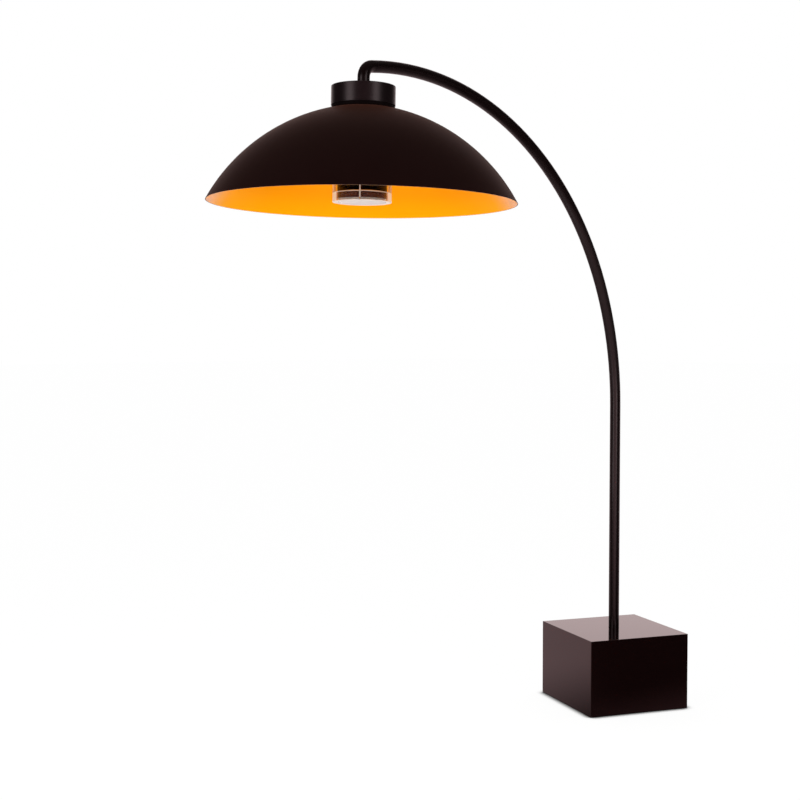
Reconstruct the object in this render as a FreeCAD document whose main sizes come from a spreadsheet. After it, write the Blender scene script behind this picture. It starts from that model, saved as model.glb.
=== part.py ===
"""Arc-lamp patio heater: weighted base block, turning mast with a long arc, dome shade and glass heater unit.

Frame: millimetres, +Z up, origin on the floor under the mast, the arm reaching towards -X.
"""

import FreeCAD
import Part

import math
import operator
import os

import Sketcher

Vector = FreeCAD.Vector

# Driving dimensions in mm, angles in degrees
SIZES = {
    # Base block
    "block_side": 400.0,
    "block_turn_angle": -24.0,
    "foot_gap": 2.0,
    "cover_height": 275.0,
    "cover_wall": 3.0,
    "cover_edge": 1.2,
    "corner_side": 44.0,
    "corner_height": 24.0,
    "mast_gap": 0.8,
    # Base plate and feet
    "plate_recess": 12.0,
    "plate_thickness": 8.0,
    "plate_gap": 1.0,
    "field_side": 260.0,
    "field_depth": 2.0,
    "pad_radius": 20.0,
    "pad_height": 8.0,
    "pad_floor": 3.0,
    "stud_radius": 5.0,
    "stud_head_radius": 10.0,
    "stud_reach": 18.0,
    "lock_nut_flats": 17.0,
    # Ballast
    "ballast_headroom": 3.0,
    "slab_gap": 3.0,
    "slab_bore_gap": 5.0,
    "corner_clearance": 4.0,
    "recess_gap": 5.0,
    # Mast socket
    "socket_bore": 25.0,
    "socket_wall": 6.0,
    "socket_headroom": 8.0,
    "socket_flange_radius": 70.0,
    "socket_flange_height": 10.0,
    "socket_bolt_circle": 54.0,
    "socket_bolt_radius": 5.0,
    "bolt_head_radius": 8.0,
    "bolt_head_height": 7.0,
    "ledge_height": 8.0,
    "ledge_bore": 9.0,
    "washer_height": 3.0,
    "bush_length": 40.0,
    "bush_flange": 4.0,
    "bush_gap": 3.0,
    "running_gap": 0.2,
    "seat_gap": 0.1,
    "stop_radius": 4.0,
    "stop_reach": 5.0,
    # Gland and leads
    "lead_radius": 4.0,
    "lead_gap": 0.5,
    "lead_rise": 26.0,
    "lead_bend": 24.0,
    "lead_slack": 4.0,
    "lead_split": 0.4,
    "lead_inset": 6.0,
    "gland_flange_radius": 17.0,
    "gland_flange": 3.0,
    "gland_radius": 11.0,
    "gland_depth": 26.0,
    "gland_dome_radius": 12.0,
    "gland_dome": 13.0,
    "gland_edge": 2.5,
    "gland_nut_flats": 30.0,
    "gland_nut_height": 7.0,
    # Mast and arm
    "tube_radius": 19.4,
    "tube_wall": 2.5,
    "foot_flange": 12.0,
    "foot_spigot": 40.0,
    "lug_reach": 4.6,
    "lug_width": 8.0,
    "arc_start": 1119.0,
    "arc_radius": 1105.0,
    "elbow_radius": 37.0,
    "reach": 1280.0,
    "head_tilt_angle": 1.1,
    "sleeve_length": 150.0,
    "sleeve_wall": 3.0,
    "sleeve_margin": 15.0,
    "joint_screw_radius": 3.0,
    "joint_screw_offset": 40.0,
    "screw_sink": 0.6,
    # Collar and hanger hub
    "cap_drop": 29.7,
    "cap_height": 71.7,
    "cap_radius": 100.2,
    "cap_wall": 3.0,
    "cap_edge": 2.0,
    "neck_height": 13.0,
    "neck_step": 1.6,
    "neck_wall": 5.0,
    "neck_spigot": 4.0,
    "post_radius": 6.0,
    "post_circle": 80.0,
    "cap_screw_radius": 2.0,
    "cap_screw_head": 4.5,
    "cap_screw_head_height": 3.0,
    "cap_screw_reach": 14.0,
    "mount_thickness": 6.0,
    "mount_gap": 1.0,
    "hub_height": 50.0,
    "hub_radius": 27.0,
    "hub_seat": 14.0,
    "hub_flange_radius": 46.0,
    "hub_flange": 8.0,
    "hub_bolt_circle": 36.0,
    "hub_bolt_radius": 3.0,
    "hub_bolt_head": 5.0,
    "hub_bolt_head_height": 5.0,
    "hub_screw_radius": 4.0,
    "hub_screw_rise": 36.0,
    "terminal_length": 36.0,
    "terminal_width": 20.0,
    "terminal_height": 18.0,
    "module_length": 62.0,
    "module_width": 32.0,
    "module_height": 28.0,
    "module_edge": 3.0,
    "electrics_offset": 68.0,
    # Dome, lining and what clamps them
    "dome_rim": 483.3,
    "dome_depth": 288.6,
    "dome_arc": 579.0,
    "dome_sheet": 1.5,
    "land_margin": 1.0,
    "wire_hole": 12.0,
    "insulation_thickness": 10.0,
    "insulation_radius": 92.0,
    "lining_arc": 580.0,
    "lining_sheet": 1.2,
    "lining_gap": 0.3,
    "dome_bolt_circle": 62.0,
    "dome_bolt_radius": 3.0,
    "dome_bolt_head": 5.0,
    "dome_bolt_head_height": 4.0,
    "dome_bolt_bite": 4.0,
    # Heater housing and core
    "housing_height": 91.3,
    "housing_wall": 2.0,
    "housing_top": 2.5,
    "housing_gap": 2.0,
    "glass_cover": 15.0,
    "slot_width": 5.0,
    "slot_height": 34.0,
    "slot_drop": 18.0,
    "boss_radius": 5.0,
    "boss_height": 14.0,
    "core_radius": 14.0,
    "core_wall": 3.0,
    "core_flange_radius": 34.0,
    "core_flange": 4.0,
    "core_bolt_circle": 25.0,
    "core_bolt_radius": 2.5,
    "core_bolt_head": 4.0,
    "core_bolt_head_height": 4.0,
    "shoulder_radius": 20.0,
    "shoulder_height": 8.0,
    "core_nut_flats": 40.0,
    "core_nut_height": 8.0,
    "core_tail": 2.0,
    # Ring lamps on spiders
    "ring_circle": 62.0,
    "ring_radius": 6.0,
    "ring_start_angle": 75.0,
    "ring_angle": 330.0,
    "ring_pitch": 40.0,
    "ring_cap_radius": 8.0,
    "ring_cap_angle": 12.0,
    "spider_hub_radius": 22.0,
    "spider_arm_width": 12.0,
    "spider_arm_height": 10.0,
    "spider_arm_end": 72.0,
    "ring_gap": 0.3,
    # Light below the ring lamps
    "pod_lift": 11.0,
    "pod_radius": 77.0,
    "pod_height": 56.0,
    "pod_wall": 3.0,
    "pod_top": 5.0,
    "pod_ledge": 4.0,
    "pod_cover_thickness": 3.0,
    "pod_screw_circle": 62.0,
    "pod_screw_radius": 1.5,
    "pod_screw_head": 3.0,
    "pod_screw_head_height": 1.5,
    "pod_screw_reach": 8.0,
    "pod_boss_radius": 5.0,
    "shield_radius": 78.0,
    "shield_thickness": 1.5,
    "board_radius": 44.0,
    "board_thickness": 1.6,
    "chip_side": 6.0,
    "chip_height": 1.0,
    "chip_circle": 30.0,
    "bezel_width": 5.0,
    "bezel_height": 4.0,
    "trim_lift": 18.5,
    "trim_height": 3.5,
    "trim_step": 1.0,
    "trim_proud": 1.2,
    # Glass
    "glass_radius": 92.0,
    "glass_wall": 5.0,
    "gasket_height": 1.5,
    "glass_lift": 2.5,
    "glass_base": 26.5,
    "base_gap": 2.0,
    "lens_radius": 75.0,
    "lens_seat": 3.0,
    "lens_bulge": 5.0,
    "lip_width": 4.0,
    "lip_height": 3.0,
    "rod_gap": 1.0,
    "rod_start_angle": 103.0,
    "rod_radius": 2.0,
    "rod_tail": 4.0,
    "rod_nut_radius": 3.6,
    "rod_nut_height": 7.0,
    "hole_gap": 0.3,
    "end_gap": 0.3,
}

SLABS = ("ballast_lower", "ballast_middle", "ballast_upper")
FOOT_COUNT = 4
SOCKET_BOLT_COUNT = 4
POST_COUNT = 4
HUB_BOLT_COUNT = 4
HUB_SCREW_COUNT = 2
DOME_BOLT_COUNT = 6
SLOT_COUNT = 20
ROD_COUNT = 3
CORE_BOLT_COUNT = 3
SPIDER_ARM_COUNT = 3
POD_SCREW_COUNT = 3
CHIP_COUNT = 12
HEX = 6
FULL_TURN = 360.0

doc = FreeCAD.newDocument("patio_heater")
sheet = doc.addObject("Spreadsheet::Sheet", "dims")
for row, (alias, number) in enumerate(SIZES.items(), start=1):
    sheet.set(f"A{row}", alias)
    sheet.set(f"B{row}", str(number))
    sheet.setAlias(f"B{row}", alias)
doc.recompute()


class Size:
    """A number together with the expression that ties it to the sheet."""

    def __init__(self, value, text):
        self.value = float(value)
        self.text = text

    def __add__(self, other):
        return combined(self, operator.add, "+", other)

    def __sub__(self, other):
        return combined(self, operator.sub, "-", other)

    def __rsub__(self, other):
        return combined(other, operator.sub, "-", self)

    def __mul__(self, other):
        return combined(self, operator.mul, "*", other)

    def __truediv__(self, other):
        return combined(self, operator.truediv, "/", other)

    def __neg__(self):
        return Size(-self.value, f"(-{self.text})")


def as_size(number):
    return number if isinstance(number, Size) else Size(number, repr(float(number)))


def combined(left, action, sign, right):
    left = as_size(left)
    right = as_size(right)
    return Size(action(left.value, right.value), f"({left.text} {sign} {right.text})")


def root(size):
    return Size(math.sqrt(size.value), f"sqrt({size.text})")


def cosine(angle):
    angle = as_size(angle)
    return Size(math.cos(math.radians(angle.value)), f"cos({angle.text})")


def sine(angle):
    angle = as_size(angle)
    return Size(math.sin(math.radians(angle.value)), f"sin({angle.text})")


def polar(radius, index, count, start=0.0):
    """Point number index of count on a circle about the axis."""
    angle = as_size(start) + index * FULL_TURN / count
    return radius * cosine(angle), radius * sine(angle)


class Dimensions:
    """Reads the sheet by alias, each as a Size."""

    def __getattr__(self, alias):
        return Size(sheet.get(alias), f"dims.{alias}")


D = Dimensions()
ZERO = as_size(0)
QUARTER_TURN = as_size(45)
PARTS = []


def new_body(label):
    body = doc.addObject("PartDesign::Body", label)
    body.Label = label
    body.AllowCompound = True
    PARTS.append(body)
    return body


def new_sketch(body, role, offset=None, turn=None):
    """Sketch on one of the body's origin planes, moved along its normal or turned about its own vertical."""
    support = next(item for item in body.Origin.OriginFeatures if item.Role == role)
    sketch = body.newObject("Sketcher::SketchObject", f"{body.Label}_sketch")
    sketch.AttachmentSupport = (support, [""])
    sketch.MapMode = "FlatFace"
    lift = offset.value if offset else 0.0
    angle = turn.value if turn else 0.0
    sketch.AttachmentOffset = FreeCAD.Placement(Vector(0, 0, lift), FreeCAD.Rotation(Vector(0, 1, 0), angle))
    if offset:
        sketch.setExpression("AttachmentOffset.Base.z", offset.text)
    if turn:
        sketch.setExpression("AttachmentOffset.Rotation.Angle", turn.text)
    return sketch


def constrain(sketch, kind, geometry, size):
    index = sketch.addConstraint(Sketcher.Constraint(kind, *geometry, size.value))
    sketch.setExpression(f"Constraints[{index}]", size.text)


def pin_point(sketch, geo, end, point):
    """Holds one end of a curve at (x, y) from the sketch's origin."""
    for kind, axis, size in (("DistanceX", -2, point[0]), ("DistanceY", -1, point[1])):
        if abs(size.value) < 1e-9:
            sketch.addConstraint(Sketcher.Constraint("PointOnObject", geo, end, axis))
        else:
            constrain(sketch, kind, (-1, 1, geo, end), size)


def arc_centre(start, end, radius, side):
    """Centre of the arc of that radius between two points, left (+1) or right (-1) of the way along."""
    dx = end[0] - start[0]
    dy = end[1] - start[1]
    chord = math.hypot(dx, dy)
    height = math.sqrt(radius * radius - chord * chord / 4) * side
    return ((start[0] + end[0]) / 2 - dy / chord * height, (start[1] + end[1]) / 2 + dx / chord * height)


def draw(sketch, points, arcs=None, closed=True):
    """Draws a chain of lines through points; arcs maps a segment's number to (radius, side of its centre)."""
    arcs = arcs or {}
    count = len(points)
    ends = []
    for index in range(count if closed else count - 1):
        start = [size.value for size in points[index]]
        end = [size.value for size in points[(index + 1) % count]]
        if index in arcs:
            radius, side = arcs[index]
            cx, cy = arc_centre(start, end, radius.value, side)
            angles = [math.atan2(y - cy, x - cx) for x, y in (start, end)]
            circle = Part.Circle(Vector(cx, cy, 0), Vector(0, 0, 1), radius.value)
            geo = sketch.addGeometry(Part.ArcOfCircle(circle, *angles[::side]))
            ends.append((geo, 1, 2) if side > 0 else (geo, 2, 1))
        else:
            geo = sketch.addGeometry(Part.LineSegment(Vector(*start, 0), Vector(*end, 0)))
            ends.append((geo, 1, 2))
    for index, (geo, first, last) in enumerate(ends):
        pin_point(sketch, geo, first, points[index])
        if index + 1 < len(ends) or closed:
            following = ends[(index + 1) % len(ends)]
            sketch.addConstraint(Sketcher.Constraint("Coincident", geo, last, following[0], following[1]))
        else:
            pin_point(sketch, geo, last, points[index + 1])
        if index in arcs:
            constrain(sketch, "Radius", (geo,), arcs[index][0])


def draw_circle(sketch, radius, centre=(ZERO, ZERO)):
    middle = Vector(centre[0].value, centre[1].value, 0)
    geo = sketch.addGeometry(Part.Circle(middle, Vector(0, 0, 1), radius.value))
    pin_point(sketch, geo, 3, centre)
    constrain(sketch, "Radius", (geo,), radius)


def rectangle(left, bottom, right, top):
    return [(left, bottom), (right, bottom), (right, top), (left, top)]


def square(side, x=ZERO, y=ZERO):
    half = side / 2
    return rectangle(x - half, y - half, x + half, y + half)


def hexagon(flats, x=ZERO, y=ZERO):
    corner = flats / (2 * math.cos(math.pi / HEX))
    corners = [polar(corner, index, HEX) for index in range(HEX)]
    return [(x + cx, y + cy) for cx, cy in corners]


def pad(body, sketch, length):
    feature = body.newObject("PartDesign::Pad", f"{body.Label}_pad")
    feature.Profile = sketch
    feature.Length = length.value
    feature.setExpression("Length", length.text)
    sketch.Visibility = False
    return feature


def pocket(body, sketch, length, forward):
    """Cuts the sketch out of the body, along its normal if forward, and checks that material went."""
    doc.recompute()
    before = body.Shape.Volume
    feature = body.newObject("PartDesign::Pocket", f"{body.Label}_pocket")
    feature.Profile = sketch
    feature.Length = length.value
    feature.setExpression("Length", length.text)
    feature.Reversed = forward
    doc.recompute()
    if body.Shape.Volume >= before:
        raise RuntimeError(f"a pocket in {body.Label} cut nothing")
    return feature


def revolve(body, sketch, axis="V_Axis", sweep=None):
    feature = body.newObject("PartDesign::Revolution", f"{body.Label}_turning")
    feature.Profile = sketch
    feature.ReferenceAxis = (sketch, [axis])
    feature.Angle = sweep.value if sweep else FULL_TURN
    if sweep:
        feature.setExpression("Angle", sweep.text)
    return feature


def repeat(body, features, sketch, count, axis="V_Axis"):
    pattern = body.newObject("PartDesign::PolarPattern", f"{body.Label}_pattern")
    pattern.Originals = features
    pattern.Axis = (sketch, [axis])
    pattern.Angle = FULL_TURN
    pattern.Occurrences = count
    body.Tip = pattern
    return pattern


def round_edges(body, radius, chosen):
    """Rounds those edges of the body whose bounding box is chosen."""
    doc.recompute()
    base = body.Tip
    edges = enumerate(body.Shape.Edges, start=1)
    names = [f"Edge{index}" for index, edge in edges if chosen(edge.BoundBox)]
    feature = body.newObject("PartDesign::Fillet", f"{body.Label}_round")
    feature.Base = (base, names)
    feature.Radius = radius.value
    feature.setExpression("Radius", radius.text)
    body.Tip = feature


def turned(label, points, arcs=None):
    """A piece turned about Z from its half section, given as (radius, height) points."""
    body = new_body(label)
    sketch = new_sketch(body, "XZ_Plane")
    draw(sketch, points, arcs)
    revolve(body, sketch)
    return body


def turned_group(label, points, circle, count, start=None):
    """Like pieces turned about their own upright axes, which stand on a circle about Z."""
    body = new_body(label)
    sketch = new_sketch(body, "XZ_Plane", turn=start)
    draw(sketch, [(circle + radius, height) for radius, height in points])
    line = sketch.addGeometry(Part.LineSegment(Vector(circle.value, 0, 0), Vector(circle.value, 1, 0)), True)
    pin_point(sketch, line, 1, (circle, ZERO))
    pin_point(sketch, line, 2, (circle, as_size(1)))
    repeat(body, [revolve(body, sketch, "Axis0")], sketch, count)
    return body


def turned_lying(label, points, height, count=1):
    """Pieces turned about a line along +X at that height, from points (distance out, radius)."""
    body = new_body(label)
    sketch = new_sketch(body, "XZ_Plane")
    draw(sketch, [(out, height + radius) for out, radius in points])
    line = sketch.addGeometry(Part.LineSegment(Vector(0, height.value, 0), Vector(1, height.value, 0)), True)
    pin_point(sketch, line, 1, (ZERO, height))
    pin_point(sketch, line, 2, (as_size(1), height))
    turning = revolve(body, sketch, "Axis0")
    if count > 1:
        repeat(body, [turning], sketch, count)
    return body


def prism(label, outlines, bottom, height, holes=()):
    """A flat piece: outlines padded up from bottom, with round holes given as (centre, radius)."""
    body = new_body(label)
    sketch = new_sketch(body, "XY_Plane", bottom)
    for points in outlines:
        draw(sketch, points)
    for centre, radius in holes:
        draw_circle(sketch, radius, centre)
    pad(body, sketch, height)
    return body


def drill(body, bottom, height, holes):
    """Round holes cut up from bottom, given as (centre, radius)."""
    sketch = new_sketch(body, "XY_Plane", bottom)
    for centre, radius in holes:
        draw_circle(sketch, radius, centre)
    pocket(body, sketch, height, True)


def drill_radially(body, height, radius, length):
    """A hole cut outwards along +X from the axis."""
    sketch = new_sketch(body, "YZ_Plane")
    draw_circle(sketch, radius, (ZERO, height))
    pocket(body, sketch, length, True)


def ring(inner, outer, bottom, top):
    return rectangle(inner, bottom, outer, top)


def bolt(shank, tip, seat, head, top):
    """Half section of a cap screw that points down: tip, seat of the head and top of the head."""
    return [(ZERO, tip), (shank, tip), (shank, seat), (head, seat), (head, top), (ZERO, top)]


def place(bodies, x, z, axis, angle):
    """Sets pieces in their shared place: shifted to x, z and turned about an axis."""
    for body in bodies:
        turn = FreeCAD.Rotation(axis, angle.value)
        body.Placement = FreeCAD.Placement(Vector(x.value, 0, z.value), turn)
        body.setExpression("Placement.Base.x", x.text)
        body.setExpression("Placement.Base.z", z.text)
        body.setExpression("Placement.Rotation.Angle", angle.text)


# Heights and radii that several pieces share
plate_bottom = D.foot_gap + D.plate_recess
plate_top = plate_bottom + D.plate_thickness
cover_top = D.foot_gap + D.cover_height
cover_inner = D.block_side / 2 - D.cover_wall
cover_ceiling = cover_top - D.cover_wall
foot_offset = cover_inner - D.corner_side / 2
foot_circle = foot_offset * root(as_size(2))
stud_hole = D.stud_radius + D.hole_gap
flange_top = plate_top + D.socket_flange_height
lead_height = plate_top + D.lead_rise
lead_hole = D.lead_radius + D.lead_gap
ledge_bottom = lead_height + D.lead_bend + D.lead_slack
ledge_top = ledge_bottom + D.ledge_height
foot_bottom = ledge_top + D.washer_height
mast_bottom = foot_bottom + D.foot_flange
socket_outer = D.socket_bore + D.socket_wall
socket_top = cover_ceiling - D.socket_headroom
bush_bore = D.tube_radius + D.running_gap
bush_outer = D.socket_bore - D.seat_gap
tube_bore = D.tube_radius - D.tube_wall
spigot_radius = tube_bore - D.seat_gap
joint_height = D.arc_start - D.sleeve_margin - D.sleeve_length / 2
stop_height = foot_bottom + D.foot_flange / 2

# Base cover: a folded box, open below, with corner blocks that take the foot studs
base_cover = prism("base_cover", [square(D.block_side)], D.foot_gap, D.cover_height)
round_edges(base_cover, D.cover_edge, lambda box: box.ZMax > cover_top.value - D.cover_edge.value)
hollow = new_sketch(base_cover, "XY_Plane", D.foot_gap)
draw(hollow, square(cover_inner * 2))
pocket(base_cover, hollow, D.cover_height - D.cover_wall, True)
corner = new_sketch(base_cover, "XY_Plane", plate_top)
draw(corner, square(D.corner_side, foot_offset, foot_offset))
draw_circle(corner, stud_hole, (foot_offset, foot_offset))
corner_pad = pad(base_cover, corner, D.corner_height)
repeat(base_cover, [corner_pad], corner, FOOT_COUNT, "N_Axis")
mast_opening = new_sketch(base_cover, "XY_Plane", cover_ceiling)
draw_circle(mast_opening, D.tube_radius + D.mast_gap)
pocket(base_cover, mast_opening, D.cover_wall, True)
drill_radially(base_cover, lead_height, D.gland_radius + D.hole_gap, D.block_side / 2)

# Base plate with holes for the foot studs and the socket bolts, its middle pressed down to stiffen it
feet = [polar(foot_circle, index, FOOT_COUNT, QUARTER_TURN) for index in range(FOOT_COUNT)]
socket_bolt_points = [
    polar(D.socket_bolt_circle, index, SOCKET_BOLT_COUNT) for index in range(SOCKET_BOLT_COUNT)
]
bolt_hole = D.socket_bolt_radius + D.hole_gap
base_plate = prism(
    "base_plate",
    [square((cover_inner - D.plate_gap) * 2)],
    plate_bottom,
    D.plate_thickness,
    [(point, stud_hole) for point in feet] + [(point, bolt_hole) for point in socket_bolt_points],
)
field = new_sketch(base_plate, "XY_Plane", plate_bottom - D.field_depth)
draw(field, square(D.field_side))
for point in socket_bolt_points:
    draw_circle(field, bolt_hole, point)
pad(base_plate, field, D.field_depth)

# Feet: rubber pads, threaded studs and lock nuts under the plate
stud_head_gap = D.stud_head_radius + D.hole_gap
levelling_feet = turned_group(
    "levelling_feet",
    [
        (ZERO, ZERO),
        (D.pad_radius, ZERO),
        (D.pad_radius, D.pad_height),
        (stud_head_gap, D.pad_height),
        (stud_head_gap, D.pad_floor),
        (ZERO, D.pad_floor),
    ],
    foot_circle,
    FOOT_COUNT,
    QUARTER_TURN,
)
foot_studs = turned_group(
    "foot_studs",
    [
        (ZERO, D.pad_floor),
        (D.stud_head_radius, D.pad_floor),
        (D.stud_head_radius, D.pad_height),
        (D.stud_radius, D.pad_height),
        (D.stud_radius, plate_top + D.stud_reach),
        (ZERO, plate_top + D.stud_reach),
    ],
    foot_circle,
    FOOT_COUNT,
    QUARTER_TURN,
)
foot_lock_nuts = new_body("foot_lock_nuts")
nut_sketch = new_sketch(foot_lock_nuts, "XY_Plane", D.pad_height)
draw(nut_sketch, hexagon(D.lock_nut_flats, foot_offset, foot_offset))
draw_circle(nut_sketch, stud_hole, (foot_offset, foot_offset))
nut_pad = pad(foot_lock_nuts, nut_sketch, plate_bottom - D.pad_height)
repeat(foot_lock_nuts, [nut_pad], nut_sketch, FOOT_COUNT, "N_Axis")

# Ballast: three cast slabs with cut corners, the lowest with room for the flange and the lead
slab_half = cover_inner - D.slab_gap
slab_height = (cover_ceiling - D.ballast_headroom - plate_top) / len(SLABS)
slab_cut = (slab_half - cover_inner + D.corner_side) * 2 + D.corner_clearance
slab_bore = socket_outer + D.slab_bore_gap
slab_outline = [
    (slab_half - slab_cut, -slab_half),
    (slab_half, slab_cut - slab_half),
    (slab_half, slab_half - slab_cut),
    (slab_half - slab_cut, slab_half),
    (slab_cut - slab_half, slab_half),
    (-slab_half, slab_half - slab_cut),
    (-slab_half, slab_cut - slab_half),
    (slab_cut - slab_half, -slab_half),
]
slabs = []
for level, name in enumerate(SLABS):
    slab_bottom = plate_top + slab_height * level
    slab = prism(name, [slab_outline], slab_bottom, slab_height, [((ZERO, ZERO), slab_bore)])
    slabs.append(slab)
ballast_lower = slabs[0]
recess_height = D.socket_flange_height + D.bolt_head_height + D.recess_gap
drill(ballast_lower, plate_top, recess_height, [((ZERO, ZERO), D.socket_flange_radius + D.recess_gap)])
channel_half = D.gland_nut_flats / 2 + D.recess_gap
channel = new_sketch(ballast_lower, "XY_Plane", plate_top)
draw(channel, rectangle(ZERO, -channel_half, slab_half + D.slab_gap, channel_half))
pocket(ballast_lower, channel, D.lead_rise + channel_half, True)

# Mast socket: flanged tube with an inner ledge that carries the mast
mast_socket = turned(
    "mast_socket",
    [
        (D.socket_bore, plate_top),
        (D.socket_flange_radius, plate_top),
        (D.socket_flange_radius, flange_top),
        (socket_outer, flange_top),
        (socket_outer, socket_top),
        (D.socket_bore, socket_top),
        (D.socket_bore, ledge_top),
        (D.ledge_bore, ledge_top),
        (D.ledge_bore, ledge_bottom),
        (D.socket_bore, ledge_bottom),
    ],
)
drill(mast_socket, plate_top, D.socket_flange_height, [(point, bolt_hole) for point in socket_bolt_points])
drill_radially(mast_socket, lead_height, lead_hole, socket_outer)
drill_radially(mast_socket, stop_height, D.stop_radius + D.seat_gap, socket_outer)
socket_bolts = turned_group(
    "socket_bolts",
    bolt(D.socket_bolt_radius, plate_bottom, flange_top, D.bolt_head_radius, flange_top + D.bolt_head_height),
    D.socket_bolt_circle,
    SOCKET_BOLT_COUNT,
)

# Bearing: two bushes, a thrust washer and the stop screw
lower_bush_bottom = mast_bottom + D.bush_gap
lower_bush = turned(
    "lower_bush",
    ring(bush_bore, bush_outer, lower_bush_bottom, lower_bush_bottom + D.bush_length),
)
upper_bush = turned(
    "upper_bush",
    [
        (bush_bore, socket_top - D.bush_length),
        (bush_outer, socket_top - D.bush_length),
        (bush_outer, socket_top),
        (socket_outer - D.cover_edge, socket_top),
        (socket_outer - D.cover_edge, socket_top + D.bush_flange),
        (bush_bore, socket_top + D.bush_flange),
    ],
)
thrust_washer = turned(
    "thrust_washer",
    ring(D.ledge_bore, D.socket_bore - D.running_gap, ledge_top, foot_bottom),
)
stop_tip = D.socket_bore - D.stop_reach
stop_screw = turned_lying("stop_screw", rectangle(stop_tip, ZERO, socket_outer, D.stop_radius), stop_height)

# Cable gland in the rear wall, with its nut inside
wall_face = D.block_side / 2
gland_end = wall_face + D.gland_flange + D.gland_dome
mains_gland = turned_lying(
    "mains_gland",
    [
        (wall_face - D.gland_depth, lead_hole),
        (wall_face - D.gland_depth, D.gland_radius),
        (wall_face, D.gland_radius),
        (wall_face, D.gland_flange_radius),
        (wall_face + D.gland_flange, D.gland_flange_radius),
        (wall_face + D.gland_flange, D.gland_dome_radius),
        (gland_end - D.gland_edge, D.gland_dome_radius),
        (gland_end, D.gland_dome_radius - D.gland_edge),
        (gland_end, lead_hole),
    ],
    lead_height,
)
gland_nut = new_body("gland_nut")
gland_nut_sketch = new_sketch(gland_nut, "YZ_Plane", cover_inner - D.gland_nut_height)
draw(gland_nut_sketch, hexagon(D.gland_nut_flats, ZERO, lead_height))
draw_circle(gland_nut_sketch, D.gland_radius + D.hole_gap, (ZERO, lead_height))
pad(gland_nut, gland_nut_sketch, D.gland_nut_height)

# Lead in the base: in from the gland, then up the axis to the mast's foot
base_lead = new_body("base_lead")
lead_path = new_sketch(base_lead, "XZ_Plane")
lead_start = gland_end - D.lead_inset
draw(
    lead_path,
    [
        (lead_start, lead_height),
        (D.lead_bend, lead_height),
        (ZERO, lead_height + D.lead_bend),
        (ZERO, foot_bottom - D.lead_split),
    ],
    {1: (D.lead_bend, -1)},
    closed=False,
)
lead_section = new_sketch(base_lead, "YZ_Plane", lead_start)
draw_circle(lead_section, D.lead_radius, (ZERO, lead_height))
lead_sweep = base_lead.newObject("PartDesign::AdditivePipe", "base_lead_sweep")
lead_sweep.Profile = lead_section
lead_sweep.Spine = (lead_path, ["Edge1", "Edge2", "Edge3"])

# Mast foot: plug in the mast's lower end, with the lug that meets the stop screw
mast_foot = turned(
    "mast_foot",
    [
        (lead_hole, foot_bottom),
        (D.tube_radius, foot_bottom),
        (D.tube_radius, mast_bottom),
        (spigot_radius, mast_bottom),
        (spigot_radius, mast_bottom + D.foot_spigot),
        (lead_hole, mast_bottom + D.foot_spigot),
    ],
)
lug = new_sketch(mast_foot, "XY_Plane", foot_bottom)
lug_end = -(D.tube_radius + D.lug_reach)
draw(lug, rectangle(lug_end, -D.lug_width / 2, -spigot_radius, D.lug_width / 2))
pad(mast_foot, lug, D.foot_flange)

# Mast tube and the sleeve that joins it to the arc, with a set screw above and below the joint
mast_tube = turned("mast_tube", ring(tube_bore, D.tube_radius, mast_bottom, joint_height))
joint_sleeve = turned(
    "joint_sleeve",
    ring(
        spigot_radius - D.sleeve_wall,
        spigot_radius,
        joint_height - D.sleeve_length / 2,
        joint_height + D.sleeve_length / 2,
    ),
)
joint_screw_hole = D.joint_screw_radius + D.seat_gap
drill_radially(mast_tube, joint_height - D.joint_screw_offset, joint_screw_hole, D.tube_radius)
drill_radially(joint_sleeve, joint_height - D.joint_screw_offset, joint_screw_hole, D.tube_radius)
drill_radially(joint_sleeve, joint_height + D.joint_screw_offset, joint_screw_hole, D.tube_radius)
joint_screws = new_body("joint_screws")
for side in (-1, 1):
    screw_height = joint_height + D.joint_screw_offset * side
    screw_sketch = new_sketch(joint_screws, "YZ_Plane", spigot_radius - D.sleeve_wall)
    draw_circle(screw_sketch, D.joint_screw_radius, (ZERO, screw_height))
    pad(joint_screws, screw_sketch, D.tube_wall + D.sleeve_wall + D.seat_gap - D.screw_sink)

# Arc tube: straight run, long arc past its top, tight elbow and a drop into the hub
past_top = D.reach - D.arc_radius - D.elbow_radius * cosine(D.head_tilt_angle)
past_top_sine = past_top / (D.arc_radius - D.elbow_radius)
past_top_cosine = root(1 - past_top_sine * past_top_sine)
arc_end = (-(D.arc_radius + D.arc_radius * past_top_sine), D.arc_start + D.arc_radius * past_top_cosine)
elbow_height = D.arc_start + (D.arc_radius - D.elbow_radius) * past_top_cosine
elbow_end = (-D.reach, elbow_height + D.elbow_radius * sine(D.head_tilt_angle))
neck = -(D.cap_drop + D.cap_height)
mount_top = neck + D.mount_thickness
tube_end = mount_top + D.hub_seat


def from_head(distance):
    """Point in the arm's plane that far below the elbow's end, along the head's axis."""
    across = distance * sine(D.head_tilt_angle)
    up = distance * cosine(D.head_tilt_angle)
    return elbow_end[0] + across, elbow_end[1] + up


def arm_route(body, start, end):
    """Centre line of the arm from a height on the mast to a depth on the head's axis."""
    route = new_sketch(body, "XZ_Plane")
    points = [(ZERO, start), (ZERO, D.arc_start), arc_end, elbow_end, from_head(end)]
    draw(route, points, {1: (D.arc_radius, 1), 2: (D.elbow_radius, 1)}, closed=False)
    return route


def arm_sweep(label, start, end, radii):
    """A round bar or tube along the arm."""
    body = new_body(label)
    route = arm_route(body, start, end)
    section = new_sketch(body, "XY_Plane", start)
    for radius in radii:
        draw_circle(section, radius)
    sweep = body.newObject("PartDesign::AdditivePipe", f"{label}_sweep")
    sweep.Profile = section
    sweep.Spine = (route, ["Edge1", "Edge2", "Edge3", "Edge4"])
    return body


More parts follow.
